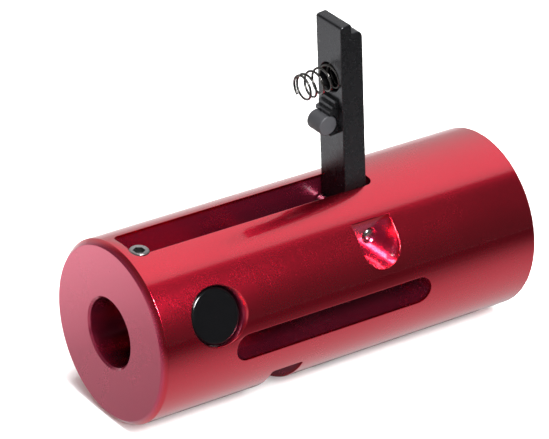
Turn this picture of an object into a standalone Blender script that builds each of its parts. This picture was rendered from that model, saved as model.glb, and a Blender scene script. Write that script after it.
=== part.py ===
"""Spin-adjusting ball chamber: a one-piece turned housing with a hinged pressure arm.

Frame: origin at the centre of the barrel bore on the front face, +X along the housing towards
the rear, +Z up through the arm slot. Metres.
"""

import math

import bmesh
import bpy
from mathutils import Matrix, Vector

MM = 0.001

# Housing
BODY_R = 11.3 * MM
BODY_LEN = 55.2 * MM
FRONT_CHAMFER_R = 0.62 * MM
FRONT_CHAMFER_X = 0.68 * MM
REAR_CHAMFER = 0.3 * MM
BORE_R = 4.27 * MM
BORE_LEAD = 0.25 * MM
NECK_LEN = 2.7 * MM
RELIEF_R = 4.9 * MM
RELIEF_END = 13.5 * MM
SEAT_R = 4.35 * MM
CAVITY_R = 6.2 * MM
CAVITY_START = 22.6 * MM

# Arm slot in the top, and the window in its floor for the nub
SLOT_FRONT = 1.75 * MM
SLOT_REAR = 36.15 * MM
SLOT_HALF = 2.55 * MM
SLOT_FLOOR = 5.5 * MM
SLOT_FRONT_CORNER = 1.0 * MM
SLOT_REAR_CORNER = 1.3 * MM
WINDOW_FRONT = 15.7 * MM
WINDOW_REAR = 21.2 * MM
WINDOW_HALF = 1.75 * MM

# Side slots, key notch and feed port
SIDE_SLOT_FRONT = 10.35 * MM
SIDE_SLOT_REAR = 38.9 * MM
SIDE_SLOT_HALF = 1.72 * MM
NOTCH_FRONT = 16.7 * MM
NOTCH_REAR = 21.2 * MM
NOTCH_FLOOR = -5.48 * MM
NOTCH_CORNER = 0.3 * MM
PORT_X = 29.5 * MM
PORT_R = 3.2 * MM
PORT_COUNTERBORE_R = 4.8 * MM
PORT_COUNTERBORE_Z = -9.2 * MM

# Side plugs: axes lie square to the housing's axis, this far down from the top
PLUG_X = 8.45 * MM
PLUG_FROM_TOP = math.radians(65)
PLUG_HOLE_R = 3.5 * MM
PLUG_FACE = 10.4 * MM
PLUG_END = 4.4 * MM
PLUG_EDGE = 0.5 * MM
COUNTERSINK = 0.4 * MM

# Arm and its pivot
PIVOT_X = 32.45 * MM
PIVOT_Z = 6.84 * MM
LEAN = math.radians(5.4)
ARM_HALF = 2.45 * MM
ARM_FRONT = -0.12 * MM
ARM_REAR = 3.03 * MM
ARM_TIP = 26.25 * MM
ARM_STEP = 24.95 * MM
ARM_LIP_REAR = 1.5 * MM
ARM_TIP_ROUND = 0.9 * MM
LUG_R = 1.6 * MM
HEEL_R = 1.2 * MM
PIN_R = 0.8 * MM
PIN_HALF = 6.55 * MM
POCKET_R = 2.74 * MM
POCKET_FLOOR = 6.8 * MM

# Pressure nub and the stepped saddle that carries it, in the arm's own frame
NUB_U = -1.5 * MM
NUB_W = 13.1 * MM
NUB_R = 1.26 * MM
NUB_HALF = 1.3 * MM
SADDLE_HALF = 1.4 * MM
SADDLE_TOP = 16.2 * MM
SADDLE_FOOT = 11.65 * MM
SADDLE_STEPS = 3

# Return spring, in the arm's own frame
SPRING_W = 18.7 * MM
SPRING_R = 1.52 * MM
WIRE_R = 0.135 * MM
SPRING_FREE_END = -4.55 * MM
SPRING_PITCH = 1.12 * MM
SPRING_END_PITCH = 0.42 * MM
RECESS_R = 1.85 * MM
RECESS_FLOOR = 1.4 * MM

# Barrel lock screw in the front corner of the slot
SCREW_X = 2.85 * MM
SCREW_Y = -1.6 * MM
SCREW_R = 1.2 * MM
SCREW_TOP = 11.15 * MM
SCREW_FOOT = 4.35 * MM
HEX_ACROSS = 1.3 * MM
HEX_DEPTH = 1.5 * MM

# Feed sleeve in the rear cavity
SLEEVE_R = 6.1 * MM
SLEEVE_FRONT = 22.9 * MM
SLEEVE_REAR = 44.0 * MM
PASSAGE_R = 3.3 * MM
SLEEVE_PORT_R = 3.05 * MM
NOZZLE_R = 4.2 * MM
NOZZLE_START = 35.0 * MM
SLEEVE_FLAT = 4.95 * MM

CLEARANCE = 0.06 * MM
OVERCUT = 1.5 * MM
ROUND = 64
SMALL_ROUND = 28


def clear_scene():
    for obj in list(bpy.data.objects):
        bpy.data.objects.remove(obj, do_unlink=True)


def material(name, colour, metallic, roughness):
    mat = bpy.data.materials.new(name)
    mat.use_nodes = True
    shader = mat.node_tree.nodes["Principled BSDF"]
    shader.inputs["Base Color"].default_value = (*colour, 1.0)
    shader.inputs["Metallic"].default_value = metallic
    shader.inputs["Roughness"].default_value = roughness
    mat.diffuse_color = (*colour, 1.0)
    return mat


def piece(name, bm, mat):
    """A named object from a bmesh, shaded smooth except at its real edges."""
    bmesh.ops.remove_doubles(bm, verts=bm.verts, dist=1e-8)
    bmesh.ops.recalc_face_normals(bm, faces=bm.faces)
    mesh = bpy.data.meshes.new(name)
    bm.to_mesh(mesh)
    bm.free()
    mesh.shade_smooth()
    mesh.set_sharp_from_angle(angle=math.radians(30))
    if mat:
        mesh.materials.append(mat)
    obj = bpy.data.objects.new(name, mesh)
    bpy.context.scene.collection.objects.link(obj)
    return obj


def arc(cx, cy, radius, start, end, steps=8):
    """Points on an arc about (cx, cy), from start to end degrees."""
    points = []
    for i in range(steps + 1):
        angle = math.radians(start + (end - start) * i / steps)
        points.append((cx + radius * math.cos(angle), cy + radius * math.sin(angle)))
    return points


def turned(name, profile, mat, steps=ROUND, ring=False):
    """A solid turned about its local Z axis from (radius, height) points. A ring's profile is closed."""
    bm = bmesh.new()
    verts = [bm.verts.new((r, 0.0, z)) for r, z in profile]
    pairs = list(zip(verts, verts[1:]))
    if ring:
        pairs.append((verts[-1], verts[0]))
    edges = [bm.edges.new(pair) for pair in pairs]
    bmesh.ops.spin(
        bm,
        geom=verts + edges,
        cent=(0, 0, 0),
        axis=(0, 0, 1),
        angle=2 * math.pi,
        steps=steps,
        use_merge=True,
    )
    return piece(name, bm, mat)


def prism(name, outline, low, high, mat=None, plane="xy"):
    """A flat outline carried from low to high along the third axis."""
    bm = bmesh.new()
    verts = [bm.verts.new((a, b, low)) for a, b in outline]
    bottom = bm.faces.new(verts)
    grown = bmesh.ops.extrude_face_region(bm, geom=[bottom])
    moved = [v for v in grown["geom"] if isinstance(v, bmesh.types.BMVert)]
    bmesh.ops.translate(bm, verts=moved, vec=(0, 0, high - low))
    if plane == "xz":
        for vert in bm.verts:
            vert.co = Vector((vert.co.x, vert.co.z, vert.co.y))
    return piece(name, bm, mat)


def along(obj, direction, origin=(0, 0, 0)):
    """Turns a piece's local Z axis to a direction and moves it to an origin."""
    turn = Vector((0, 0, 1)).rotation_difference(Vector(direction)).to_matrix().to_4x4()
    obj.matrix_world = Matrix.Translation(origin) @ turn
    return obj


def boolean(target, other, operation):
    """Adds a Boolean whose other shape is only a helper."""
    other.hide_render = True
    other.display_type = "WIRE"
    step = target.modifiers.new(f"{operation.lower()}_{other.name}", "BOOLEAN")
    step.operation = operation
    step.solver = "EXACT"
    step.object = other


def bevel(obj, width, segments=2, angle=40):
    step = obj.modifiers.new("edge_break", "BEVEL")
    step.width = width
    step.segments = segments
    step.limit_method = "ANGLE"
    step.angle_limit = math.radians(angle)


def rounded_box(front, rear, half, front_round, rear_round):
    """Outline of a slot, with one radius at its front corners and one at its rear corners."""
    return (
        arc(rear - rear_round, half - rear_round, rear_round, 0, 90)
        + arc(front + front_round, half - front_round, front_round, 90, 180)
        + arc(front + front_round, front_round - half, front_round, 180, 270)
        + arc(rear - rear_round, rear_round - half, rear_round, 270, 360)
    )


def plug_axis(side):
    """The outward direction of a side plug; side is -1 on the right of the arm and 1 on its left."""
    return Vector((0, side * math.sin(PLUG_FROM_TOP), math.cos(PLUG_FROM_TOP)))


def on_arm(obj, arm_frame):
    obj.parent = arm_frame
    return obj


def slot_cutter(name, floor):
    outline = rounded_box(SLOT_FRONT, SLOT_REAR, SLOT_HALF, SLOT_FRONT_CORNER, SLOT_REAR_CORNER)
    return prism(name, outline, floor, BODY_R + OVERCUT)


def chamber_body(mat):
    """The housing: a turned tube, then every milled and drilled opening."""
    lead = BORE_R + BORE_LEAD
    profile = [
        (lead, 0),
        (BODY_R - FRONT_CHAMFER_R, 0),
        (BODY_R, FRONT_CHAMFER_X),
        (BODY_R, BODY_LEN - REAR_CHAMFER),
        (BODY_R - REAR_CHAMFER, BODY_LEN),
        (CAVITY_R + REAR_CHAMFER, BODY_LEN),
        (CAVITY_R, BODY_LEN - REAR_CHAMFER),
        (CAVITY_R, CAVITY_START),
        (SEAT_R, CAVITY_START),
        (SEAT_R, RELIEF_END),
        (RELIEF_R, RELIEF_END),
        (RELIEF_R, NECK_LEN),
        (BORE_R, NECK_LEN),
        (BORE_R, BORE_LEAD),
    ]
    body = turned("chamber_body", profile, mat, steps=88, ring=True)
    along(body, (1, 0, 0))

    boolean(body, slot_cutter("cut_arm_slot", SLOT_FLOOR), "DIFFERENCE")

    window = rounded_box(WINDOW_FRONT, WINDOW_REAR, WINDOW_HALF, 0.4 * MM, 0.4 * MM)
    boolean(body, prism("cut_nub_window", window, SEAT_R / 2, SLOT_FLOOR + OVERCUT), "DIFFERENCE")

    side_outline = rounded_box(
        SIDE_SLOT_FRONT, SIDE_SLOT_REAR, SIDE_SLOT_HALF, SIDE_SLOT_HALF, SIDE_SLOT_HALF
    )
    for side in (-1, 1):
        near, far = sorted((side * SEAT_R * 0.8, side * (BODY_R + OVERCUT)))
        boolean(
            body,
            prism(f"cut_side_slot_{side}", side_outline, near, far, plane="xz"),
            "DIFFERENCE",
        )

    middle = (NOTCH_FRONT + NOTCH_REAR) / 2
    notch_half = (NOTCH_REAR - NOTCH_FRONT) / 2
    notch = (
        [(middle - notch_half, -BODY_R - OVERCUT), (middle + notch_half, -BODY_R - OVERCUT)]
        + arc(NOTCH_REAR - NOTCH_CORNER, NOTCH_FLOOR - NOTCH_CORNER, NOTCH_CORNER, 0, 90, 4)
        + arc(NOTCH_FRONT + NOTCH_CORNER, NOTCH_FLOOR - NOTCH_CORNER, NOTCH_CORNER, 90, 180, 4)
    )
    reach = BODY_R + OVERCUT
    boolean(body, prism("cut_key_notch", notch, -reach, reach, plane="xz"), "DIFFERENCE")

    port = [
        (0, CAVITY_R * 0.6),
        (PORT_R, CAVITY_R * 0.6),
        (PORT_R, -PORT_COUNTERBORE_Z),
        (PORT_COUNTERBORE_R, -PORT_COUNTERBORE_Z),
        (PORT_COUNTERBORE_R, reach),
        (0, reach),
    ]
    boolean(body, along(turned("cut_feed_port", port, None), (0, 0, -1), (PORT_X, 0, 0)), "DIFFERENCE")

    slope = COUNTERSINK / (BODY_R - PLUG_FACE)
    plug_hole = [
        (0, BORE_R / 2),
        (PLUG_HOLE_R, BORE_R / 2),
        (PLUG_HOLE_R, PLUG_FACE),
        (PLUG_HOLE_R + slope * (reach - PLUG_FACE), reach),
        (0, reach),
    ]
    for side in (-1, 1):
        hole = turned(f"cut_plug_hole_{side}", plug_hole, None)
        boolean(body, along(hole, plug_axis(side), (PLUG_X, 0, 0)), "DIFFERENCE")

    pocket = (
        arc(PIVOT_X, PIVOT_Z, POCKET_R, 180, 360, 24)
        + [(PIVOT_X + POCKET_R, reach), (PIVOT_X - POCKET_R, reach)]
    )
    for side in (-1, 1):
        near, far = sorted((side * POCKET_FLOOR, side * reach))
        boolean(body, prism(f"cut_pin_pocket_{side}", pocket, near, far, plane="xz"), "DIFFERENCE")

    hole_r = PIN_R + CLEARANCE
    entry = 0.2 * MM
    pin_hole = [
        (0, -reach),
        (hole_r + entry, -reach),
        (hole_r + entry, -POCKET_FLOOR),
        (hole_r, -POCKET_FLOOR + entry),
        (hole_r, POCKET_FLOOR - entry),
        (hole_r + entry, POCKET_FLOOR),
        (hole_r + entry, reach),
        (0, reach),
    ]
    cutter = turned("cut_pin_hole", pin_hole, None, steps=SMALL_ROUND)
    boolean(body, along(cutter, (0, 1, 0), (PIVOT_X, 0, PIVOT_Z)), "DIFFERENCE")

    screw_hole_r = SCREW_R + CLEARANCE
    screw_hole = [(0, BORE_R / 2), (screw_hole_r, BORE_R / 2), (screw_hole_r, reach), (0, reach)]
    cutter = turned("cut_lock_screw_hole", screw_hole, None, steps=SMALL_ROUND)
    boolean(body, along(cutter, (0, 0, 1), (SCREW_X, SCREW_Y, 0)), "DIFFERENCE")
    return body


def feed_sleeve(mat):
    """Liner of the rear cavity: guides the ball from the feed port, and the loading nozzle behind it."""
    profile = [
        (PASSAGE_R, SLEEVE_FRONT),
        (SLEEVE_R, SLEEVE_FRONT),
        (SLEEVE_R, SLEEVE_REAR),
        (NOZZLE_R + REAR_CHAMFER, SLEEVE_REAR),
        (NOZZLE_R, SLEEVE_REAR - REAR_CHAMFER),
        (NOZZLE_R, NOZZLE_START),
        (PASSAGE_R, NOZZLE_START - (NOZZLE_R - PASSAGE_R)),
    ]
    sleeve = along(turned("feed_sleeve", profile, mat, ring=True), (1, 0, 0))
    flat = rounded_box(SLEEVE_FRONT - OVERCUT, SLOT_REAR + CLEARANCE, SLOT_HALF, 0.4 * MM, 0.4 * MM)
    boolean(sleeve, prism("cut_sleeve_flat", flat, SLEEVE_FLAT, CAVITY_R + OVERCUT), "DIFFERENCE")
    port = [(0, 0), (SLEEVE_PORT_R, 0), (SLEEVE_PORT_R, CAVITY_R + OVERCUT), (0, CAVITY_R + OVERCUT)]
    cutter = turned("cut_sleeve_port", port, None, steps=48)
    boolean(sleeve, along(cutter, (0, 0, -1), (PORT_X, 0, 0)), "DIFFERENCE")
    return sleeve


def side_plug(name, side, mat):
    """Turned plug pressed in from the side; its inner end steadies the barrel."""
    radius = PLUG_HOLE_R - CLEARANCE
    pip_r = 0.22 * MM
    pip = 0.08 * MM
    profile = (
        [(0, PLUG_END), (radius - PLUG_EDGE, PLUG_END), (radius, PLUG_END + PLUG_EDGE)]
        + arc(radius - PLUG_EDGE, PLUG_FACE - PLUG_EDGE, PLUG_EDGE, 0, 90, 6)
        + [(pip_r, PLUG_FACE), (pip_r, PLUG_FACE + pip), (0, PLUG_FACE + pip)]
    )
    return along(turned(name, profile, mat, steps=64), plug_axis(side), (PLUG_X, 0, 0))


def lock_screw(mat):
    """Cup-ended set screw with a hexagon socket; it clamps the barrel in the neck."""
    edge = 0.2 * MM
    profile = [
        (0, SCREW_FOOT + edge),
        (SCREW_R - 2 * edge, SCREW_FOOT),
        (SCREW_R, SCREW_FOOT + edge),
        (SCREW_R, SCREW_TOP - edge),
        (SCREW_R - edge, SCREW_TOP),
        (0, SCREW_TOP),
    ]
    screw = turned("barrel_lock_screw", profile, mat, steps=SMALL_ROUND)
    along(screw, (0, 0, 1), (SCREW_X, SCREW_Y, 0))
    corner = HEX_ACROSS / math.sqrt(3)
    socket = [
        (SCREW_X + x, SCREW_Y + y)
        for x, y in arc(0, 0, corner, 0, 300, 5)
    ]
    boolean(screw, prism("cut_hex_socket", socket, SCREW_TOP - HEX_DEPTH, SCREW_TOP + edge), "DIFFERENCE")
    return screw


def pivot_pin(mat):
    """Ground pin with domed ends, pressed through both cheeks of the housing."""
    dome = 0.3 * MM
    profile = [
        (0, -PIN_HALF - dome),
        (PIN_R * 0.6, -PIN_HALF - 0.7 * dome),
        (PIN_R, -PIN_HALF + dome),
        (PIN_R, PIN_HALF - dome),
        (PIN_R * 0.6, PIN_HALF + 0.7 * dome),
        (0, PIN_HALF + dome),
    ]
    pin = turned("arm_pivot_pin", profile, mat, steps=SMALL_ROUND)
    return along(pin, (0, 1, 0), (PIVOT_X, 0, PIVOT_Z))


def arm_outline():
    """Side view of the arm: hinge lug, heel, straight back, stepped tip, straight front."""
    start = math.degrees(math.acos(ARM_FRONT / LUG_R))
    lip = 0.35 * MM
    return (
        arc(0, 0, LUG_R, start, 280, 20)
        + arc(ARM_REAR - HEEL_R, -0.25 * MM, HEEL_R, -85, 0, 8)
        + arc(ARM_REAR - ARM_TIP_ROUND, ARM_STEP - ARM_TIP_ROUND, ARM_TIP_ROUND, 0, 90, 8)
        + [(ARM_LIP_REAR, ARM_STEP)]
        + arc(ARM_LIP_REAR - lip, ARM_TIP - lip, lip, 0, 90, 5)
        + arc(ARM_FRONT + lip, ARM_TIP - lip, lip, 90, 180, 5)
    )


def saddle_outline():
    """Side view of the nub's saddle: a stair down from the arm's face, the seat, and a small foot."""
    inside = ARM_FRONT + 0.4 * MM
    seat_r = NUB_R + CLEARANCE
    out = 0.4 * MM
    drop = (SADDLE_TOP - NUB_W - NUB_R) / SADDLE_STEPS
    outline = [(inside, SADDLE_TOP)]
    for i in range(SADDLE_STEPS):
        u = ARM_FRONT - out * (i + 1)
        outline.append((u, SADDLE_TOP - drop * i))
        outline.append((u, SADDLE_TOP - drop * (i + 1) + (CLEARANCE if i < SADDLE_STEPS - 1 else 0)))
    outline += arc(NUB_U, NUB_W, seat_r, 80, 12, 8)
    outline += [(inside, NUB_W + seat_r * 0.2), (inside, NUB_W - seat_r * 0.2)]
    outline += arc(NUB_U, NUB_W, seat_r, -12, -55, 5)
    outline += [(ARM_FRONT - out, SADDLE_FOOT), (inside, SADDLE_FOOT)]
    return outline


def pressure_arm(mat, arm_frame):
    """Steel lever with the stepped saddle on its face and a blind recess for the spring."""
    arm = prism("pressure_arm", arm_outline(), -ARM_HALF, ARM_HALF, mat, plane="xz")
    bevel(arm, 0.15 * MM)
    saddle = prism("join_saddle", saddle_outline(), -SADDLE_HALF, SADDLE_HALF, plane="xz")
    boolean(arm, on_arm(saddle, arm_frame), "UNION")

    pin_hole_r = PIN_R + CLEARANCE
    hole = [(0, -2 * ARM_HALF), (pin_hole_r, -2 * ARM_HALF), (pin_hole_r, 2 * ARM_HALF), (0, 2 * ARM_HALF)]
    cutter = along(turned("cut_arm_pivot", hole, None, steps=SMALL_ROUND), (0, 1, 0))
    boolean(arm, on_arm(cutter, arm_frame), "DIFFERENCE")

    recess = [(0, -RECESS_FLOOR), (RECESS_R, -RECESS_FLOOR), (RECESS_R, OVERCUT), (0, OVERCUT)]
    cutter = along(turned("cut_spring_recess", recess, None, steps=48), (-1, 0, 0), (0, 0, SPRING_W))
    boolean(arm, on_arm(cutter, arm_frame), "DIFFERENCE")
    return on_arm(arm, arm_frame)


def pressure_nub(mat, arm_frame):
    """Short rod that presses on the rubber through the window in the slot's floor."""
    edge = 0.15 * MM
    profile = [
        (0, -NUB_HALF),
        (NUB_R - edge, -NUB_HALF),
        (NUB_R, -NUB_HALF + edge),
        (NUB_R, NUB_HALF - edge),
        (NUB_R - edge, NUB_HALF),
        (0, NUB_HALF),
    ]
    nub = turned("pressure_nub", profile, mat, steps=40)
    return on_arm(along(nub, (0, 1, 0), (NUB_U, 0, NUB_W)), arm_frame)


def spring_points(per_turn=18):
    """Centre line of the spring's wire, from its seat in the recess to its free end. Both end turns lie close."""
    seat = RECESS_FLOOR - 2 * WIRE_R
    free = SPRING_FREE_END + WIRE_R
    end_turns = 1.0
    middle_turns = (seat - free - 2 * end_turns * SPRING_END_PITCH) / SPRING_PITCH
    total = middle_turns + 2 * end_turns
    count = round(total * per_turn)
    points = []
    u = seat
    for i in range(count + 1):
        turn = total * i / count
        points.append(
            (
                u,
                SPRING_R * math.sin(2 * math.pi * turn),
                SPRING_W + SPRING_R * math.cos(2 * math.pi * turn),
            )
        )
        close = turn < end_turns or turn >= total - end_turns - 1e-6
        u -= (SPRING_END_PITCH if close else SPRING_PITCH) * total / count
    return points


def return_spring(mat, arm_frame):
    """Compression spring that lifts the arm off the rubber."""
    curve = bpy.data.curves.new("arm_return_spring", "CURVE")
    curve.dimensions = "3D"
    points = spring_points()
    spline = curve.splines.new("POLY")
    spline.points.add(len(points) - 1)
    for point, place in zip(spline.points, points):
        point.co = (*place, 1.0)
    curve.bevel_depth = WIRE_R
    curve.bevel_resolution = 1
    curve.use_fill_caps = True
    curve.materials.append(mat)
    spring = bpy.data.objects.new("arm_return_spring", curve)
    bpy.context.scene.collection.objects.link(spring)
    return on_arm(spring, arm_frame)


def build():
    clear_scene()
    red = material("red_anodised", (0.46, 0.02, 0.05), 0.9, 0.32)
    black_steel = material("blackened_steel", (0.05, 0.05, 0.055), 0.8, 0.38)
    bright_steel = material("bright_steel", (0.62, 0.62, 0.6), 1.0, 0.25)
    spring_steel = material("spring_steel", (0.16, 0.15, 0.15), 1.0, 0.3)
    black_polymer = material("black_polymer", (0.012, 0.012, 0.013), 0.0, 0.25)
    nub_polymer = material("nub_polymer", (0.06, 0.06, 0.065), 0.0, 0.5)

    chamber_body(red)
    feed_sleeve(black_polymer)
    side_plug("right_side_plug", -1, black_polymer)
    side_plug("left_side_plug", 1, black_polymer)
    lock_screw(bright_steel)
    pivot_pin(bright_steel)

    arm_frame = bpy.data.objects.new("arm_pivot_frame", None)
    bpy.context.scene.collection.objects.link(arm_frame)
    arm_frame.location = (PIVOT_X, 0, PIVOT_Z)
    arm_frame.rotation_euler = (0, -LEAN, 0)
    pressure_arm(black_steel, arm_frame)
    pressure_nub(nub_polymer, arm_frame)
    return_spring(spring_steel, arm_frame)


build()
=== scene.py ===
# %% [markdown]
# # A ball chamber with a hinged pressure arm
#
# This lesson dresses a small machined part: a red anodised housing, turned in one piece, with a
# black steel arm that folds down into a slot in its top. On the real object the arm carries a
# short rod that presses on a rubber sleeve inside, which gives the passing ball its spin.
#
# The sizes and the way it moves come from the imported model, so the first step loads that model.
# Everything after it is in metres, in the model's own frame: +X runs along the housing from its
# front face to the rear, and +Z points up through the arm's slot.

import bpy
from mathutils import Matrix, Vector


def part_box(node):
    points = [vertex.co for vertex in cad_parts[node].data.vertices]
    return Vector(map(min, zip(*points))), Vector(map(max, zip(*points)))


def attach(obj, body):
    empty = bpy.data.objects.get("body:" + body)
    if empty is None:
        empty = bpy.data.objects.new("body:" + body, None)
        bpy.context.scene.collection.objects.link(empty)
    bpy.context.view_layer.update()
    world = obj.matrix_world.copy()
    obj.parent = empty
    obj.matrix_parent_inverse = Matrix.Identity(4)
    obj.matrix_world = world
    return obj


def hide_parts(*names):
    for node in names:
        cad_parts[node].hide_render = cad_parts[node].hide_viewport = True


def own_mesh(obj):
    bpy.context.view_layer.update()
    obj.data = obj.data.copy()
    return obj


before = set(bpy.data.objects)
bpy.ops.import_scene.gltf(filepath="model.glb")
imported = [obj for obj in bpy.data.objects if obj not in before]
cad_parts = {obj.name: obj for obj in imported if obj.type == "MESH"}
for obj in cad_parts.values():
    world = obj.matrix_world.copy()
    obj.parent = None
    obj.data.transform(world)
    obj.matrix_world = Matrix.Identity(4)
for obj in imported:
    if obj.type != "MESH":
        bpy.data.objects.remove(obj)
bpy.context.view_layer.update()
print("nodes:", ", ".join(sorted(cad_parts)))

# %% Tools and the sizes they share
import math

import bmesh
import bpy
from mathutils import Matrix, Vector

MM = 0.001
SAME_POINT = 1e-7
housing_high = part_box("chamber_body")[1]
HOUSING_R = housing_high.z
HOUSING_LEN = housing_high.x
print(f"housing {HOUSING_LEN / MM:.1f} mm long, {2 * HOUSING_R / MM:.1f} mm across")

# %% [markdown]
# ## Working by hand, in code
#
# An operator acts on whatever is selected, so each piece starts with a clean selection. In edit
# mode, parts of the mesh are then picked by where they are or by which way they face, exactly as
# one would click on them. Three small helpers do that for every piece below.

# %% Selecting and finishing
def deselect_all():
    """Leaves object mode clean, so that the next operator touches only the new piece."""
    if bpy.context.object and bpy.context.object.mode != "OBJECT":
        bpy.ops.object.mode_set(mode="OBJECT")
    bpy.ops.object.select_all(action="DESELECT")


def activate(obj):
    deselect_all()
    obj.select_set(True)
    bpy.context.view_layer.objects.active = obj
    return obj


def pick(kind, test):
    """In edit mode, selects the vertices, edges or faces of the active piece that pass the test."""
    bpy.ops.mesh.select_mode(type=kind)
    bpy.ops.mesh.select_all(action="DESELECT")
    mesh = bpy.context.object.data
    bm = bmesh.from_edit_mesh(mesh)
    items = {"VERT": bm.verts, "EDGE": bm.edges, "FACE": bm.faces}[kind]
    found = [item for item in items if test(item)]
    for item in found:
        item.select_set(True)
    bm.select_flush_mode()
    bmesh.update_edit_mesh(mesh)
    return len(found)


def edge_middle(edge):
    return (edge.verts[0].co + edge.verts[1].co) / 2


def apply_place(obj):
    """Puts the piece's place into its mesh, so that its object sits at the origin, unturned."""
    activate(obj)
    bpy.ops.object.transform_apply(location=True, rotation=True, scale=True)


def apply_modifiers(obj):
    activate(obj)
    for modifier in list(obj.modifiers):
        bpy.ops.object.modifier_apply(modifier=modifier.name)


def outward(obj):
    """Merges doubles and turns every face outwards."""
    activate(obj)
    bpy.ops.object.mode_set(mode="EDIT")
    bpy.ops.mesh.select_all(action="SELECT")
    bpy.ops.mesh.remove_doubles(threshold=SAME_POINT)
    bpy.ops.mesh.normals_make_consistent(inside=False)
    bpy.ops.object.mode_set(mode="OBJECT")


# %% [markdown]
# ## Turned pieces
#
# Most of this object comes off a lathe: housing, plugs, pin, screw and rod. The matching tool is
# Spin. One vertex is extruded along half of the piece's section, the corners that are rounded on
# the real piece get a vertex bevel while the section is still a wire, and Spin sweeps the wire
# once round the axis. A section that starts and ends on the axis gives a solid piece, and a
# closed section gives a ring.

# %% Turning a section
def turn(name, section, steps, closed=False, rounds=(), cuts=4):
    """Spins (distance along X, radius) points round X. rounds lists (index of a point, radius)."""
    deselect_all()
    points = [Vector((x, 0, r)) for x, r in section]
    bpy.ops.mesh.primitive_plane_add(size=1e-5, location=points[0])
    obj = bpy.context.object
    obj.name = name
    apply_place(obj)
    bpy.ops.object.mode_set(mode="EDIT")
    bpy.ops.mesh.select_mode(type="VERT")
    bpy.ops.mesh.select_all(action="SELECT")
    bpy.ops.mesh.merge(type="CENTER")
    for here, there in zip(points, points[1:]):
        bpy.ops.mesh.extrude_vertices_move(TRANSFORM_OT_translate={"value": there - here})
    if closed:
        ends = (points[0], points[-1])
        pick("VERT", lambda v: any((v.co - end).length < SAME_POINT for end in ends))
        bpy.ops.mesh.edge_face_add()
    for index, radius in rounds:
        pick("VERT", lambda v: (v.co - points[index]).length < SAME_POINT)
        bpy.ops.mesh.bevel(offset=radius, segments=cuts, affect="VERTICES")
    bpy.ops.mesh.select_all(action="SELECT")
    bpy.ops.mesh.spin(
        steps=steps, angle=2 * math.pi, center=(0, 0, 0), axis=(1, 0, 0), use_auto_merge=True
    )
    bpy.ops.object.mode_set(mode="OBJECT")
    outward(obj)
    return obj


def bar(start, end, radius):
    """The section of a plain round bar between two points of its axis."""
    return [(start, 0), (start, radius), (end, radius), (end, 0)]


# %% Placing a turned piece and other small moves
def aim(obj, direction, origin=(0, 0, 0)):
    """Turns a piece made along X to a direction, moves it, and applies both."""
    turned = Vector((1, 0, 0)).rotation_difference(Vector(direction))
    obj.matrix_world = Matrix.Translation(origin) @ turned.to_matrix().to_4x4()
    apply_place(obj)
    return obj


def block(name, low, high):
    """A cube primitive stretched between two corners."""
    deselect_all()
    low, high = Vector(low), Vector(high)
    bpy.ops.mesh.primitive_cube_add(size=1, location=(low + high) / 2, scale=high - low)
    obj = bpy.context.object
    obj.name = name
    apply_place(obj)
    return obj


def round_edges(obj, test, radius, segments):
    """Bevels the edges of a piece whose middle passes the test."""
    activate(obj)
    bpy.ops.object.mode_set(mode="EDIT")
    pick("EDGE", lambda e: test(edge_middle(e), (e.verts[1].co - e.verts[0].co).normalized()))
    bpy.ops.mesh.bevel(offset=radius, segments=segments, affect="EDGES", clamp_overlap=False)
    bpy.ops.mesh.select_all(action="SELECT")
    bpy.ops.mesh.remove_doubles(threshold=SAME_POINT)
    bpy.ops.object.mode_set(mode="OBJECT")
    return obj


def break_edges(obj, width, segments):
    """Bevels every sharp edge of a piece by the same small width."""
    step = obj.modifiers.new("edges", "BEVEL")
    step.width = width
    step.segments = segments
    step.angle_limit = math.radians(40)
    apply_modifiers(obj)
    outward(obj)


def combine(obj, tool, operation):
    """Cuts the tool out of the piece, or joins it on, and removes the tool."""
    activate(obj)
    step = obj.modifiers.new(operation.lower(), "BOOLEAN")
    step.operation = operation
    step.solver = "EXACT"
    step.object = tool
    bpy.ops.object.modifier_apply(modifier=step.name)
    bpy.data.objects.remove(tool, do_unlink=True)
    return obj


def shade(obj, degrees=30, weighted=True):
    """Smooth shading that keeps real edges sharp, with flat faces kept flat beside their bevels."""
    activate(obj)
    bpy.ops.object.shade_smooth_by_angle(angle=math.radians(degrees))
    if weighted:
        step = obj.modifiers.new("keep_faces_flat", "WEIGHTED_NORMAL")
        step.keep_sharp = True
        bpy.ops.object.modifier_apply(modifier=step.name)
    count = sum(len(p.vertices) - 2 for p in obj.data.polygons)
    print(f"{obj.name}: {count} triangles")
    return obj


# %% [markdown]
# ## The housing blank
#
# The real housing starts as a round bar of aluminium. It is bored from both ends: a snug neck in
# front for the inner barrel, a wider relief behind it, a seat for the rubber, and a large cavity
# at the rear. One closed section, spun round X in 218 steps, gives the whole blank. That many
# steps keep the long reflections on the wall smooth. The count, and a turn by half a step, put
# the long lines of the blank well away from the rims of the openings that are cut later, which
# leaves room there to bevel them.

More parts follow.
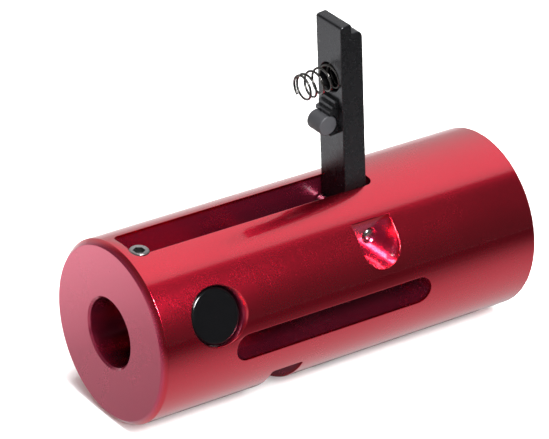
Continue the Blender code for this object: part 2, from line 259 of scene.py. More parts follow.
# %% Turn the blank
NECK_R = 4.27 * MM
NECK_END = 2.7 * MM
RELIEF_R = 4.9 * MM
RELIEF_END = 13.5 * MM
SEAT_R = 4.35 * MM
CAVITY_R = 6.2 * MM
CAVITY_START = 22.6 * MM
REAR_CHAMFER = 0.3 * MM
BORE_CHAMFER = 0.25 * MM
section = [
    (0.0, NECK_R + BORE_CHAMFER),
    (0.0, HOUSING_R - 0.62 * MM),
    (0.68 * MM, HOUSING_R),
    (HOUSING_LEN - REAR_CHAMFER, HOUSING_R),
    (HOUSING_LEN, HOUSING_R - REAR_CHAMFER),
    (HOUSING_LEN, CAVITY_R + REAR_CHAMFER),
    (HOUSING_LEN - REAR_CHAMFER, CAVITY_R),
    (CAVITY_START, CAVITY_R),
    (CAVITY_START, SEAT_R),
    (RELIEF_END, SEAT_R),
    (RELIEF_END, RELIEF_R),
    (NECK_END, RELIEF_R),
    (NECK_END, NECK_R),
    (BORE_CHAMFER, NECK_R),
]
small = 0.05 * MM
HOUSING_STEPS = 218
housing = turn(
    "chamber_housing", section, HOUSING_STEPS, closed=True,
    rounds=[(1, small), (2, small), (3, small), (4, small)], cuts=2,
)
housing.rotation_euler.x = math.pi / HOUSING_STEPS
apply_place(housing)
print("blank turned:", len(housing.data.polygons), "faces")

# %% [markdown]
# ## Milling the openings
#
# A mill cuts with a round tool, so every slot ends in rounded corners. Each opening is made as a
# block whose corner edges are bevelled to the tool's radius, and a Boolean takes it out of the
# blank. The arm's slot runs along the top, with a small window in its floor for the rod; two long
# slots lie in the sides; a keyway crosses the underside.

# %% Arm slot, rod window, side slots and keyway
REACH = HOUSING_R + 1.5 * MM
SLOT_START, SLOT_END = 1.75 * MM, 36.15 * MM
SLOT_FLOOR = 5.5 * MM
SLOT_HALF = 2.55 * MM
SLOT_CORNER = 1.0 * MM
WINDOW_START, WINDOW_END = 15.7 * MM, 21.2 * MM
WINDOW_HALF = 1.75 * MM
SIDE_SLOT_START, SIDE_SLOT_END = 10.35 * MM, 38.9 * MM
KEYWAY_START, KEYWAY_END = 16.7 * MM, 21.2 * MM
KEYWAY_ROOF = -5.48 * MM
ALMOST = 0.9995  # of the half width, so that two round corners never quite meet
PIVOT = Vector((32.45 * MM, 0, 6.84 * MM))


def upright(direction):
    return abs(direction.z) > 0.9


def crosswise(direction):
    return abs(direction.y) > 0.9


slot = block(
    "slot_tool", (SLOT_START, -SLOT_HALF, SLOT_FLOOR), (SLOT_END, SLOT_HALF, REACH)
)
round_edges(slot, lambda m, d: upright(d), SLOT_CORNER, 10)
combine(housing, slot, "DIFFERENCE")

window = block(
    "window_tool", (WINDOW_START, -WINDOW_HALF, 2 * MM), (WINDOW_END, WINDOW_HALF, 7 * MM)
)
round_edges(window, lambda m, d: upright(d), 0.4 * MM, 6)
combine(housing, window, "DIFFERENCE")

for side in (-1, 1):
    low, high = sorted((side * 3.5 * MM, side * REACH))
    half = 1.72 * MM
    slot = block("side_slot_tool", (SIDE_SLOT_START, low, -half), (SIDE_SLOT_END, high, half))
    round_edges(slot, lambda m, d: crosswise(d), half * ALMOST, 20)
    combine(housing, slot, "DIFFERENCE")

keyway = block("keyway_tool", (KEYWAY_START, -REACH, -REACH), (KEYWAY_END, REACH, KEYWAY_ROOF))
round_edges(keyway, lambda m, d: crosswise(d) and m.z > -6 * MM, 0.3 * MM, 4)
combine(housing, keyway, "DIFFERENCE")
print("milled:", len(housing.data.polygons), "faces")

# %% [markdown]
# ## Drilling the holes
#
# The feed port, the plug holes, the pin hole and the screw hole are round, so their tools are
# turned like drills and aimed where the hole goes. A plug hole opens out a little at its mouth,
# and the pin hole has a small chamfer at the floor of each pocket.

# %% Feed port, plug holes, pin pockets and small holes
PORT_X = 29.5 * MM
PLUG_X = 8.45 * MM
PLUG_TILT = math.radians(65)
PLUG_HOLE_R = 3.5 * MM
PLUG_FACE = 10.4 * MM
PIN_HOLE_R = 0.86 * MM
POCKET_FLOOR = 6.8 * MM


def plug_axis(side):
    return Vector((0, side * math.sin(PLUG_TILT), math.cos(PLUG_TILT)))


PORT_R = 3.2 * MM
PORT_MOUTH_R = 4.8 * MM
PORT_STEP = 9.2 * MM
port = turn(
    "port_tool",
    [
        (3.7 * MM, 0),
        (3.7 * MM, PORT_R),
        (PORT_STEP, PORT_R),
        (PORT_STEP, PORT_MOUTH_R),
        (REACH, PORT_MOUTH_R),
        (REACH, 0),
    ],
    96,
)
combine(housing, aim(port, (0, 0, -1), (PORT_X, 0, 0)), "DIFFERENCE")

flare = 0.4 * MM / (HOUSING_R - PLUG_FACE)
for side in (-1, 1):
    hole = turn(
        "plug_hole_tool",
        [
            (2 * MM, 0),
            (2 * MM, PLUG_HOLE_R),
            (PLUG_FACE, PLUG_HOLE_R),
            (REACH, PLUG_HOLE_R + flare * (REACH - PLUG_FACE)),
            (REACH, 0),
        ],
        96,
        rounds=[(2, 0.25 * MM)],
    )
    combine(housing, aim(hole, plug_axis(side), (PLUG_X, 0, 0)), "DIFFERENCE")

for side in (-1, 1):
    low, high = sorted((side * POCKET_FLOOR, side * REACH))
    wide = 2.74 * MM
    corner, far_corner = (PIVOT.x - wide, low, PIVOT.z - wide), (PIVOT.x + wide, high, REACH)
    pocket = block("pocket_tool", corner, far_corner)
    round_edges(pocket, lambda m, d: crosswise(d) and m.z < PIVOT.z, wide * ALMOST, 24)
    combine(housing, pocket, "DIFFERENCE")

chamfer = 0.2 * MM
pin_hole = turn(
    "pin_hole_tool",
    [
        (-REACH, 0),
        (-REACH, PIN_HOLE_R + chamfer),
        (-POCKET_FLOOR, PIN_HOLE_R + chamfer),
        (-POCKET_FLOOR + chamfer, PIN_HOLE_R),
        (POCKET_FLOOR - chamfer, PIN_HOLE_R),
        (POCKET_FLOOR, PIN_HOLE_R + chamfer),
        (REACH, PIN_HOLE_R + chamfer),
        (REACH, 0),
    ],
    48,
)
combine(housing, aim(pin_hole, (0, 1, 0), PIVOT), "DIFFERENCE")

SCREW_AT = Vector((2.85 * MM, -1.6 * MM, 0))
screw_hole = turn("screw_hole_tool", bar(2 * MM, REACH, 1.26 * MM), 48)
combine(housing, aim(screw_hole, (0, 0, 1), SCREW_AT), "DIFFERENCE")
print("drilled:", len(housing.data.polygons), "faces")

# %% [markdown]
# ## Breaking the edges
#
# A machinist never leaves an edge raw. Every edge that an opening cuts in the outer wall gets a
# narrow bevel, and those thin rims are what catches the light on the real part. The edges are
# picked by their sharpness and by lying on the outer wall.

# %% Bevel the rims
def breaks_outer_wall(edge):
    if len(edge.link_faces) != 2 or edge.calc_face_angle(0) < math.radians(25):
        return False
    return all(math.hypot(v.co.y, v.co.z) > HOUSING_R - 0.06 * MM for v in edge.verts)


activate(housing)
bpy.ops.object.mode_set(mode="EDIT")
bpy.ops.mesh.select_all(action="SELECT")
bpy.ops.mesh.remove_doubles(threshold=0.004 * MM)
END_ZONE = 1 * MM
found = pick(
    "EDGE",
    lambda e: breaks_outer_wall(e) and END_ZONE < edge_middle(e).x < HOUSING_LEN - END_ZONE,
)
bpy.ops.mesh.bevel(offset=0.09 * MM, segments=2, affect="EDGES", clamp_overlap=False)
bpy.ops.object.mode_set(mode="OBJECT")
shade(housing)
print("rim edges:", found)

# %% [markdown]
# ## The liner in the rear cavity
#
# Behind the rubber the ball is guided by a black liner: a passage for the ball in front, a wider
# bore for the loading nozzle behind, and a port underneath. A flat on its top leaves room for the
# folded arm.

# %% Turn and cut the liner
LINER_FRONT = 22.9 * MM
LINER_REAR = 44.0 * MM
LINER_R = 6.1 * MM
PASSAGE_R = 3.3 * MM
NOZZLE_R = 4.2 * MM
liner = turn(
    "feed_liner",
    [
        (LINER_FRONT, PASSAGE_R),
        (LINER_FRONT, LINER_R),
        (LINER_REAR, LINER_R),
        (LINER_REAR, NOZZLE_R + 0.3 * MM),
        (LINER_REAR - 0.3 * MM, NOZZLE_R),
        (35.0 * MM, NOZZLE_R),
        (34.1 * MM, PASSAGE_R),
    ],
    128,
    closed=True,
    rounds=[(1, 0.15 * MM), (2, 0.15 * MM)],
)
flat = block("flat_tool", (21 * MM, -SLOT_HALF, 4.95 * MM), (36.21 * MM, SLOT_HALF, 8 * MM))
round_edges(flat, lambda m, d: upright(d), 0.4 * MM, 6)
combine(liner, flat, "DIFFERENCE")
port = turn("port_tool", bar(0, 8 * MM, 3.05 * MM), 96)
combine(liner, aim(port, (0, 0, -1), (PORT_X, 0, 0)), "DIFFERENCE")
shade(liner)

# %% [markdown]
# ## Side plugs
#
# Two glossy black plugs close the cross holes near the front. A lathe leaves a generous round at
# the outer edge and a tiny pip in the middle of the face, where the cut ends.

# %% Turn one plug, copy it for the other side
plug_r = PLUG_HOLE_R - 0.06 * MM
plug = turn(
    "side_plug_right",
    [
        (4.4 * MM, 0),
        (4.4 * MM, plug_r - 0.5 * MM),
        (4.9 * MM, plug_r),
        (PLUG_FACE, plug_r),
        (PLUG_FACE, 0.22 * MM),
        (PLUG_FACE + 0.07 * MM, 0.16 * MM),
        (PLUG_FACE + 0.07 * MM, 0),
    ],
    128,
    rounds=[(3, 0.5 * MM)],
    cuts=8,
)
plug_left = plug.copy()
plug_left.data = plug.data.copy()
plug_left.name = "side_plug_left"
bpy.context.collection.objects.link(plug_left)
shade(aim(plug, plug_axis(-1), (PLUG_X, 0, 0)))
shade(aim(plug_left, plug_axis(1), (PLUG_X, 0, 0)))

# %% [markdown]
# ## The pivot pin
#
# A ground steel pin crosses the housing through both pockets. Its ends are domed, so they are
# rounded in the section before it is spun.

# %% Turn the pin
pin_half = 6.85 * MM
pin = turn(
    "pivot_pin",
    bar(-pin_half, pin_half, 0.8 * MM),
    64,
    rounds=[(1, 0.45 * MM), (2, 0.45 * MM)],
    cuts=8,
)
shade(aim(pin, (0, 1, 0), PIVOT))

# %% [markdown]
# ## The barrel lock screw
#
# A headless set screw stands in the front corner of the slot and clamps the barrel below. It has
# a bevelled rim, a hexagon socket and a fine thread. A thread is a short section swept with the
# Screw modifier, which turns and climbs at once.

# %% Core, socket and thread
SCREW_TOP = 11.15 * MM
SCREW_FOOT = 4.35 * MM
THREAD_PITCH = 0.45 * MM
core_r = 0.97 * MM
head_r = 1.2 * MM
screw = turn(
    "lock_screw",
    [
        (SCREW_FOOT + 0.2 * MM, 0),
        (SCREW_FOOT, 0.6 * MM),
        (SCREW_FOOT + 0.3 * MM, core_r),
        (SCREW_TOP - 0.55 * MM, core_r),
        (SCREW_TOP - 0.5 * MM, head_r),
        (SCREW_TOP - 0.16 * MM, head_r),
        (SCREW_TOP, 1.04 * MM),
        (SCREW_TOP - 0.12 * MM, 0.8 * MM),
        (SCREW_TOP - 0.16 * MM, 0),
    ],
    64,
    rounds=[(6, 0.05 * MM)],
    cuts=3,
)
deselect_all()
KEY_FLATS = 1.3 * MM
bpy.ops.mesh.primitive_cylinder_add(
    vertices=6, radius=KEY_FLATS / math.sqrt(3), depth=3 * MM, location=(SCREW_TOP, 0, 0),
    rotation=(0, math.pi / 2, 0),
)
socket = bpy.context.object
apply_place(socket)
combine(screw, socket, "DIFFERENCE")
aim(screw, (0, 0, 1), SCREW_AT)

deselect_all()
bpy.ops.mesh.primitive_circle_add(vertices=3, radius=0.23 * MM, fill_type="NOTHING")
thread = bpy.context.object
crest_outwards = Matrix(((0, 1, 0), (0, 0, 1), (1, 0, 0))).to_4x4()
THREAD_START = SCREW_FOOT + 0.4 * MM
thread.matrix_world = Matrix.Translation((0.95 * MM, 0, THREAD_START)) @ crest_outwards
apply_place(thread)
turns = (SCREW_TOP - SCREW_FOOT - 1.1 * MM) / THREAD_PITCH
step = thread.modifiers.new("climb", "SCREW")
step.axis = "Z"
step.angle = 2 * math.pi * turns
step.screw_offset = THREAD_PITCH * turns
step.steps = step.render_steps = round(36 * turns)
step.use_merge_vertices = False
apply_modifiers(thread)
bpy.ops.object.mode_set(mode="EDIT")
for end in (THREAD_START, THREAD_START + THREAD_PITCH * turns):
    near = pick("EDGE", lambda e: e.is_boundary and abs(edge_middle(e).z - end) < 0.21 * MM)
    bpy.ops.mesh.edge_face_add()
    print("thread end closed on", near, "edges")
bpy.ops.object.mode_set(mode="OBJECT")
outward(thread)
thread.location = SCREW_AT
apply_place(thread)
combine(screw, thread, "UNION")
shade(screw)

# %% [markdown]
# ## The pressure arm
#
# The arm is a flat steel lever. It is built standing straight up from its hinge at the origin,
# which keeps the numbers simple, and it is leaned and moved to the pin only at the end. A block
# gives the lever; a strip of its top is extruded to make the lip at the tip; a turned lug is
# joined on for the hinge; and a stair of three small blocks makes the saddle that holds the rod.

# %% Lever with its lip
ARM_HALF = 2.45 * MM
ARM_FRONT = -0.12 * MM
ARM_REAR = 3.03 * MM
ARM_STEP = 24.95 * MM
ARM_TIP = 26.25 * MM
LIP_BACK = 1.5 * MM
NEAR_REAR = 3 * MM
LEAN = math.radians(5.4)

arm = block("lever", (ARM_FRONT, -ARM_HALF, -1.35 * MM), (ARM_REAR, ARM_HALF, ARM_STEP))
bpy.ops.object.mode_set(mode="EDIT")
bpy.ops.mesh.select_all(action="SELECT")
bpy.ops.mesh.bisect(plane_co=(LIP_BACK, 0, 0), plane_no=(1, 0, 0))
pick("FACE", lambda f: f.normal.z > 0.9 and f.calc_center_median().x < LIP_BACK)
bpy.ops.mesh.extrude_region_move(TRANSFORM_OT_translate={"value": (0, 0, ARM_TIP - ARM_STEP)})
bpy.ops.object.mode_set(mode="OBJECT")
round_edges(arm, lambda m, d: crosswise(d) and m.x > NEAR_REAR and m.z > 20 * MM, 0.9 * MM, 6)
round_edges(arm, lambda m, d: crosswise(d) and m.x > NEAR_REAR and m.z < 0, 1.2 * MM, 8)
round_edges(arm, lambda m, d: crosswise(d) and m.z > ARM_TIP - 0.001 * MM, 0.38 * MM, 4)
print("lever faces:", len(arm.data.polygons))

# %% Hinge lug, saddle, spring recess and hinge hole
break_edges(arm, 0.17 * MM, 3)

lug_half = ARM_HALF - 0.04 * MM
lug = turn(
    "lug", bar(-lug_half, lug_half, 1.6 * MM), 64,
    rounds=[(1, 0.12 * MM), (2, 0.12 * MM)], cuts=2,
)
combine(arm, aim(lug, (0, 1, 0)), "UNION")

ROD_AT = Vector((-1.5 * MM, 0, 13.1 * MM))
ROD_R = 1.26 * MM
SADDLE_HALF = 1.4 * MM
SADDLE_TOP = 16.2 * MM
stair = (SADDLE_TOP - ROD_AT.z - ROD_R) / 3
TREAD = 0.4 * MM
SADDLE_FOOT = 11.65 * MM
saddle = block(
    "saddle", (ARM_FRONT - TREAD, -SADDLE_HALF, SADDLE_FOOT), (0.3 * MM, SADDLE_HALF, SADDLE_TOP)
)
bpy.ops.object.mode_set(mode="EDIT")
for i in (1, 2):
    high = SADDLE_TOP - stair * i - 0.06 * MM
    bpy.ops.mesh.select_all(action="SELECT")
    bpy.ops.mesh.bisect(plane_co=(0, 0, high), plane_no=(0, 0, 1))
    pick("FACE", lambda f: f.normal.x < -0.9 and f.calc_center_median().z < high)
    bpy.ops.mesh.extrude_region_move(TRANSFORM_OT_translate={"value": (-TREAD, 0, 0)})
bpy.ops.object.mode_set(mode="OBJECT")
break_edges(saddle, 0.07 * MM, 2)
combine(arm, saddle, "UNION")
BEYOND = 4 * MM  # reaches past both sides of the lever
seat = turn("seat", bar(-BEYOND, BEYOND, ROD_R + 0.04 * MM), 64)
combine(arm, aim(seat, (0, 1, 0), ROD_AT), "DIFFERENCE")

SPRING_AT = 18.7 * MM
RECESS_DEPTH = 1.4 * MM
RECESS_R = 1.85 * MM
RECESS_MOUTH_R = 2.1 * MM
recess = turn(
    "recess",
    [
        (-RECESS_DEPTH, 0),
        (-RECESS_DEPTH, RECESS_R),
        (0.02 * MM, RECESS_R),
        (0.3 * MM, RECESS_MOUTH_R),
        (2 * MM, RECESS_MOUTH_R),
        (2 * MM, 0),
    ],
    64,
)
combine(arm, aim(recess, (-1, 0, 0), (0, 0, SPRING_AT)), "DIFFERENCE")
hinge_hole = turn("hinge_hole", bar(-BEYOND, BEYOND, PIN_HOLE_R), 48)
combine(arm, aim(hinge_hole, (0, 1, 0)), "DIFFERENCE")


def stand_on_pin(obj):
    """Leans a piece made upright at the origin and moves it to the hinge pin."""
    obj.rotation_euler = (0, -LEAN, 0)
    obj.location = PIVOT
    apply_place(obj)
    return obj


arm.name = "pressure_lever"
shade(stand_on_pin(arm))

# %% [markdown]
# ## The pressure rod
#
# The rod that presses on the rubber is a short length of dull plastic, lying across the arm in
# its saddle.

# %% Turn the rod
rod_half = 1.3 * MM
rod = turn(
    "pressure_rod",
    bar(-rod_half, rod_half, ROD_R),
    72,
    rounds=[(1, 0.16 * MM), (2, 0.16 * MM)],
)
shade(stand_on_pin(aim(rod, (0, 1, 0), ROD_AT)))

# %% [markdown]
# ## The return spring
#
# A compression spring has a close turn at each end, where it bears, and open turns between.
# Round wire is a curve with a bevel depth, so the spring's centre line is worked out point by
# point, and the curve becomes a mesh before its place is applied.

# %% Wind the spring
WIRE_R = 0.15 * MM
SPRING_R = 1.52 * MM
PER_TURN = 28
seat_x = RECESS_DEPTH - WIRE_R
free_x = -4.55 * MM + WIRE_R
close_pitch, open_pitch = 0.36 * MM, 1.12 * MM
open_turns = (seat_x - free_x - 2 * close_pitch) / open_pitch
all_turns = open_turns + 2

deselect_all()
bpy.ops.curve.primitive_nurbs_path_add()
wire = bpy.context.object
wire.name = "return_spring"
wire.data.splines.remove(wire.data.splines[0])
spline = wire.data.splines.new("POLY")
count = round(all_turns * PER_TURN)
spline.points.add(count)
x = seat_x
for i, point in enumerate(spline.points):
    turned = all_turns * i / count
    angle = 2 * math.pi * turned
    point.co = (x, SPRING_R * math.sin(angle), SPRING_AT + SPRING_R * math.cos(angle), 1)
    closing = min(turned, all_turns - turned)
    blend = min(max((closing - 0.95) / 0.3, 0), 1)
    x -= (close_pitch + (open_pitch - close_pitch) * blend) * all_turns / count
wire.data.bevel_depth = WIRE_R
wire.data.bevel_resolution = 4
wire.data.use_fill_caps = True
wire.location = (0, 0, 0)
bpy.ops.object.convert(target="MESH")
spring = bpy.context.object
outward(spring)
shade(stand_on_pin(spring), degrees=60, weighted=False)

# %% [markdown]
# ## Materials as expressions
#
# A material is a small program in nodes. Written with a class that wraps a socket, a formula on
# a surface reads like the formula itself, and each operation adds the Math node it stands for.

# %% Node helpers
class Value:
    """One socket of a node tree, with arithmetic that adds Math nodes."""

    def __init__(self, tree, socket):
        self.tree = tree
        self.socket = socket

    def math(self, operation, other):
        return self.tree.node("ShaderNodeMath", {"operation": operation}, {0: self, 1: other})

    def __add__(self, other):
        return self.math("ADD", other)

    def __mul__(self, other):
        return self.math("MULTIPLY", other)

    __radd__ = __add__
    __rmul__ = __mul__


class Finish:
    """A material whose nodes are added by one method."""

    def __init__(self, name, colour, metallic=0.0, roughness=0.4, **sockets):
        self.material = bpy.data.materials.new(name)
        self.material.use_nodes = True
        self.nodes = self.material.node_tree.nodes
        self.links = self.material.node_tree.links
        self.shader = self.nodes["Principled BSDF"]
        self.set("Base Color", (*colour, 1))
        self.set("Metallic", metallic)
        self.set("Roughness", roughness)
        for key, value in sockets.items():
            self.set(key.replace("_", " "), value)
        self.material.diffuse_color = (*colour, 1)
        self.place = self.node("ShaderNodeTexCoord", out="Object")

    def node(self, kind, settings=None, inputs=None, out=0):
        """Adds a node, its settings first and then its sockets' values or links."""
        made = self.nodes.new(kind)
        for key, value in (settings or {}).items():
            if key == "stops":
                ramp = made.color_ramp
                while len(ramp.elements) < len(value):
                    ramp.elements.new(0.5)
                for element, (position, colour) in zip(ramp.elements, value):
                    element.position = position
                    element.color = (*colour, 1)
            else:
                setattr(made, key, value)
        for key, value in (inputs or {}).items():
            if isinstance(value, Value):
                self.links.new(value.socket, made.inputs[key])
            else:
                made.inputs[key].default_value = value
        return Value(self, made.outputs[out])

    def set(self, socket, value):
        """Gives the shader a plain value or a link."""
        if isinstance(value, Value):
            self.links.new(value.socket, self.shader.inputs[socket])
        else:
            self.shader.inputs[socket].default_value = value

    def stretched(self, scale):
        """Object coordinates multiplied axis by axis."""
        return self.node(
            "ShaderNodeVectorMath", {"operation": "MULTIPLY"}, {0: self.place, 1: scale}, out="Vector"
        )

    def noise(self, scale, where=None, detail=2.0, rough=0.5):
        return self.node(
            "ShaderNodeTexNoise", {"noise_dimensions": "3D"},
            {"Vector": where or self.place, "Scale": scale, "Detail": detail, "Roughness": rough},
        )

    def between(self, value, low, high, to_low=0.0, to_high=1.0):
        return self.node(
            "ShaderNodeMapRange", {"clamp": True},
            {"Value": value, "From Min": low, "From Max": high, "To Min": to_low, "To Max": to_high},
        )

    def length(self, vector):
        return self.node("ShaderNodeVectorMath", {"operation": "LENGTH"}, {0: vector}, out="Value")

    def colours(self, factor, first, second):
        """A mix of two colours; either can be a plain colour or a Value."""
        first, second = (c if isinstance(c, Value) else (*c, 1) for c in (first, second))
        return self.node(
            "ShaderNodeMix", {"data_type": "RGBA", "blend_type": "MIX"},
            {"Factor": factor, "A": first, "B": second}, out="Result",
        )

    def bump(self, height, distance):
        raised = {"Height": height, "Distance": distance, "Strength": 1.0}
        self.set("Normal", self.node("ShaderNodeBump", None, raised, out="Normal"))


print("finishes ready")

# %% [markdown]
# ## Red anodising
#
# Anodising grows a clear dyed film on the aluminium. Light that enters the film comes back red
# from the metal, and light that glances off the film's face stays white. So the base is a red
# metal, fairly rough from the etch before dyeing, and a smoother coat lies over it. Fine rings
# from the lathe run round the part, and the etch leaves a faint sparkle. The walls inside the
# openings, told apart by their distance from the axis, get a darker red that scatters a little:
# painted shade for the recesses.

# %% Anodised finish
red = Finish(
    "red_anodised", (0.78, 0.012, 0.044), metallic=1.0, roughness=0.27,
    Coat_Weight=1.0, Coat_Roughness=0.07, Coat_IOR=1.6,
)
rings = red.noise(1.0, red.stretched((42000, 400, 400)), detail=1.0)
sparkle = red.noise(5200.0, detail=1.0)
broad = red.noise(110.0, detail=3.0)
red.set("Roughness", red.between(broad + sparkle * 0.3, 0.4, 0.9, 0.255, 0.285))
from_axis = red.length(red.stretched((0, 1, 1)))
outer_skin = red.between(from_axis, HOUSING_R - 0.5 * MM, HOUSING_R - 0.2 * MM)
mottle = red.between(sparkle + broad * 0.4, 0.45, 0.95)
dye = red.colours(mottle, (0.74, 0.011, 0.040), (0.81, 0.014, 0.050))
# Painted shade: the walls inside the openings get a darker, less metallic red than the outer skin.
recess_shade_red = (0.55, 0.034, 0.10)
red.set("Metallic", red.between(outer_skin, 0, 1, 0.945, 1.0))
red.set("Base Color", red.colours(outer_skin, recess_shade_red, dye))
red.bump(rings * 0.5 + sparkle, 0.008 * MM)

# %% [markdown]
# ## Steels, black plastics and the dull rod
#
# The arm is steel with a black oxide: dark, with a satin shine, fine grinding lines along its
# length and small worn specks. The pin is bright ground steel, the screw a duller and darker
# one, and the spring dark drawn wire. The plugs are a hard glossy plastic, the liner a matt one,
# and the rod is a dull dark grey. Each has its own fine noise, which varies the roughness and
# raises a faint bump.

# %% The other finishes
black_steel = Finish("blackened_steel", (0.085, 0.085, 0.09), metallic=0.97, roughness=0.3)
grain = black_steel.noise(1.0, black_steel.stretched((3000, 3000, 260)), detail=3.0)
pits = black_steel.noise(900.0, detail=4.0, rough=0.65)
black_steel.set("Roughness", black_steel.between(pits, 0.35, 0.7, 0.22, 0.36))
specks = black_steel.between(pits, 0.66, 0.74)
black_steel.set("Base Color", black_steel.colours(specks, (0.065, 0.065, 0.07), (0.14, 0.14, 0.14)))
black_steel.bump(grain * 0.6 + pits, 0.004 * MM)

bright_steel = Finish("bright_steel", (0.62, 0.61, 0.59), metallic=1.0, roughness=0.2)
turned_marks = bright_steel.noise(2600.0, detail=2.0)
bright_steel.set("Roughness", bright_steel.between(turned_marks, 0.3, 0.7, 0.16, 0.3))
bright_steel.bump(turned_marks, 0.003 * MM)

screw_steel = Finish("screw_steel", (0.34, 0.33, 0.33), metallic=1.0, roughness=0.3)
faced = screw_steel.noise(3000.0, detail=2.0)
screw_steel.set("Roughness", screw_steel.between(faced, 0.3, 0.7, 0.25, 0.4))
screw_steel.bump(faced, 0.003 * MM)

spring_steel = Finish("spring_steel", (0.11, 0.105, 0.10), metallic=1.0, roughness=0.24)
drawn = spring_steel.noise(3800.0, detail=2.0)
spring_steel.set("Roughness", spring_steel.between(drawn, 0.3, 0.7, 0.18, 0.32))
spring_steel.bump(drawn, 0.003 * MM)

plug_black = Finish(
    "plug_black", (0.0015, 0.0015, 0.0018), roughness=0.12, Coat_Weight=0.15, Coat_Roughness=0.05
)
marks = plug_black.noise(700.0, detail=2.0)
plug_black.set("Roughness", plug_black.between(marks, 0.3, 0.7, 0.10, 0.18))
plug_black.bump(marks, 0.002 * MM)

liner_black = Finish("liner_black", (0.012, 0.012, 0.013), roughness=0.42)
moulded = liner_black.noise(1500.0, detail=2.0)
liner_black.set("Roughness", liner_black.between(moulded, 0.3, 0.7, 0.36, 0.5))
liner_black.bump(moulded, 0.004 * MM)

rod_grey = Finish("rod_dull", (0.03, 0.03, 0.034), roughness=0.55)
dull = rod_grey.noise(2400.0, detail=3.0)
rod_grey.set("Roughness", rod_grey.between(dull, 0.3, 0.7, 0.45, 0.62))
rod_grey.set("Base Color", rod_grey.colours(dull, (0.024, 0.024, 0.027), (0.038, 0.038, 0.042)))
rod_grey.bump(dull, 0.006 * MM)

# %% [markdown]
# ## Who rides on what
#
# Every piece takes one finish and rides on the body that carries it, so that the arm folds with
# its rod and spring, and the screw turns on its own.

# %% Finishes, bodies and stand-ins
fittings = [
    (housing, "chamber", "chamber_body", "red_anodised", red),
    (liner, "chamber", "feed_sleeve", "black_polymer", liner_black),
    (plug, "chamber", "right_side_plug", "black_polymer", plug_black),
    (plug_left, "chamber", "left_side_plug", "black_polymer", plug_black),
    (pin, "chamber", "arm_pivot_pin", "bright_steel", bright_steel),
    (screw, "lock_screw", "barrel_lock_screw", "bright_steel", screw_steel),
    (arm, "arm", "pressure_arm", "blackened_steel", black_steel),
    (rod, "arm", "pressure_nub", "nub_polymer", rod_grey),
    (spring, "arm", "arm_return_spring", "spring_steel", spring_steel),
]
for piece, body, node, slot_name, finish in fittings:
    piece.data.materials.clear()
    piece.data.materials.append(finish.material)
    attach(piece, body)
    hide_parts(node)
    print(f"{piece.name} rides on {body}, for {node}")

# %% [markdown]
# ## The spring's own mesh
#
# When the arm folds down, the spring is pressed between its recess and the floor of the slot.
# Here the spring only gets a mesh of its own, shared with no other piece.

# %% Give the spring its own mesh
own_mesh(spring)

# %% [markdown]
# ## Floor, light and camera
#
# The part lies on a white sheet. Three soft white lamps light it, one from above and two from the
# camera's side, and only the nearest of these, the key, is also seen in the shine. The rest of
# what the shiny surfaces mirror is built for them. The sky is a pale tent above and behind the
# part and at both of its ends, and a dark room on the camera's side. Two grey cards just over the
# floor stand in for the lit and the shaded parts of the sheet, and only reflections see them.
# The dark gap between tent and sheet draws the long dark band along the side of the housing,
# which shows its shape better than even light would.

# %% Floor
deselect_all()
bpy.ops.mesh.primitive_plane_add(size=3, location=(0, 0, -HOUSING_R))
floor = bpy.context.object
floor.name = "floor"
paper = Finish("white_paper", (0.9, 0.9, 0.9), roughness=0.7)
floor.data.materials.append(paper.material)


def gloss_card(name, size, place, stops):
    """A grey card that only shiny surfaces see. stops lists (distance along Y in mm, brightness)."""
    deselect_all()
    bpy.ops.mesh.primitive_plane_add(size=1, location=place)
    card = bpy.context.object
    card.name = name
    card.scale = (*size, 1)
    for ray in ("camera", "diffuse", "shadow", "transmission"):
        setattr(card, "visible_" + ray, False)
    glow = Finish(name, (0, 0, 0), roughness=1.0, Specular_IOR_Level=0.0, Emission_Strength=1.0)
    along = glow.node("ShaderNodeSeparateXYZ", None, {"Vector": glow.place}, out="Y")
    low, high = stops[0][0], stops[-1][0]
    part_way = glow.between(along, low * MM / size[1], high * MM / size[1])
    ramp = [((at - low) / (high - low), (level,) * 3) for at, level in stops]
    greys = glow.node("ShaderNodeValToRGB", {"stops": ramp}, {"Fac": part_way}, out="Color")
    glow.set("Emission Color", greys)
    card.data.materials.append(glow.material)


gloss_card("table_glow", (2, 2), (0, 0, 0.05 * MM - HOUSING_R), [
    (-110, 0.04), (-62, 0.12), (-36, 0.33), (-24, 0.52), (-15, 0.6),
    (-7, 0.6), (-4, 0.45), (14, 0.6), (36, 1.3), (60, 1.0), (130, 0.75),
])
shade_at = (0.0276, 0, 0.1 * MM - HOUSING_R)
gloss_card("under_shade", (0.05, 0.011), shade_at, [(-5.5, 0.12), (5.5, 0.04)])


# %% Lights
def soft_light(name, where, towards, size, power, seen_in_gloss=True):
    """A rectangular white light at a place, turned towards a point."""
    data = bpy.data.lights.new(name, "AREA")
    data.shape = "RECTANGLE"
    data.size, data.size_y = size
    data.energy = power
    light = bpy.data.objects.new(name, data)
    bpy.context.collection.objects.link(light)
    light.location = where
    light.rotation_euler = (Vector(towards) - Vector(where)).to_track_quat("-Z", "Y").to_euler()
    light.visible_glossy = seen_in_gloss


middle = (0.028, 0, 0)
soft_light("zenith", (0.02, 0.02, 0.45), middle, (0.2, 0.2), 2.9, seen_in_gloss=False)
soft_light("front_fill", (-0.05, -0.35, 0.22), middle, (0.3, 0.2), 2.5, seen_in_gloss=False)
near_plug = (0.014, -0.009, 0.007)
soft_light("front_key", (0.0, -0.195, 0.215), near_plug, (0.07, 0.09), 1.1)

# %% Sky
world = bpy.data.worlds.new("studio")
bpy.context.scene.world = world
world.use_nodes = True
sky = world.node_tree.nodes
wires = world.node_tree.links
TENT_EDGE = math.radians(14)
CAMERA_SIDE_GLOW = 0.08
PAST_FRONT_GLOW = 0.12
END_GLOW = 0.8
direction = sky.new("ShaderNodeTexCoord").outputs["Generated"]


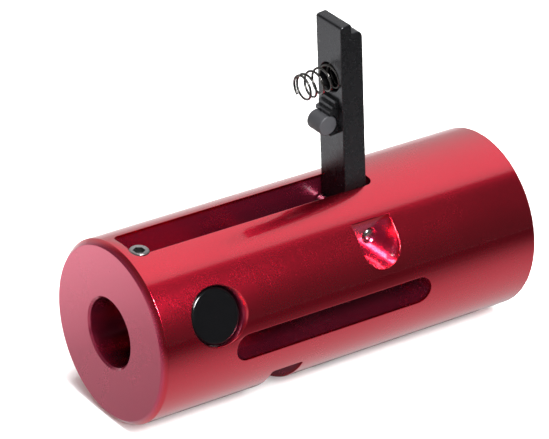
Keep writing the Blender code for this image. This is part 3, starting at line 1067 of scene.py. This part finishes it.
def sky_ramp(value, low, high, to_low, to_high):
    """Goes smoothly from to_low to to_high as the value goes from low to high."""
    ramp = sky.new("ShaderNodeMapRange")
    ramp.interpolation_type = "SMOOTHSTEP"
    wires.new(value, ramp.inputs["Value"])
    ends = {"From Min": low, "From Max": high, "To Min": to_low, "To Max": to_high}
    for key, end in ends.items():
        if isinstance(end, bpy.types.NodeSocket):
            wires.new(end, ramp.inputs[key])
        else:
            ramp.inputs[key].default_value = end
    return ramp.outputs["Result"]


split = sky.new("ShaderNodeSeparateXYZ")
wires.new(direction, split.inputs[0])

# The tent brightens upwards and fades out towards the front end.
tent_glow = sky_ramp(split.outputs["Z"], -0.1, 1.1, 0.5, 1.06)
tent_glow = sky_ramp(split.outputs["X"], -0.45, -0.15, PAST_FRONT_GLOW, tent_glow)

# Past the tent's edge, on the camera's side, the sky is dark.
across = sky.new("ShaderNodeVectorMath")
across.operation = "DOT_PRODUCT"
across.inputs[1].default_value = (0, -math.cos(TENT_EDGE), -math.sin(TENT_EDGE))
wires.new(direction, across.inputs[0])
tent_side = sky_ramp(across.outputs["Value"], -0.04, 0.04, tent_glow, CAMERA_SIDE_GLOW)

# Straight ahead of either end it is pale again.
endwise = sky.new("ShaderNodeMath")
endwise.operation = "ABSOLUTE"
wires.new(split.outputs["X"], endwise.inputs[0])
sky_glow = sky_ramp(endwise.outputs[0], 0.84, 0.96, tent_side, END_GLOW)
wires.new(sky_glow, sky["Background"].inputs["Strength"])
sky["Background"].inputs["Color"].default_value = (1, 1, 1, 1)

# %% Camera
camera_data = bpy.data.cameras.new("camera")
camera = bpy.data.objects.new("camera", camera_data)
bpy.context.collection.objects.link(camera)
right = Vector((0.80858, -0.58692, 0.04150))
up = Vector((0.25085, 0.40768, 0.87799))
back = Vector((-0.53223, -0.69952, 0.47687))
turn_to = Matrix((right, up, back)).transposed().to_4x4()
CAMERA_AT = (-0.20442, -0.29945, 0.21255)
camera.matrix_world = Matrix.Translation(CAMERA_AT) @ turn_to
camera_data.sensor_width = 36
camera_data.lens = 236.4
camera_data.clip_start = 0.01
camera_data.clip_end = 10
bpy.context.scene.camera = camera
bpy.context.scene.view_settings.view_transform = "Standard"

# %% Bring the scene up to date
bpy.context.view_layer.update()
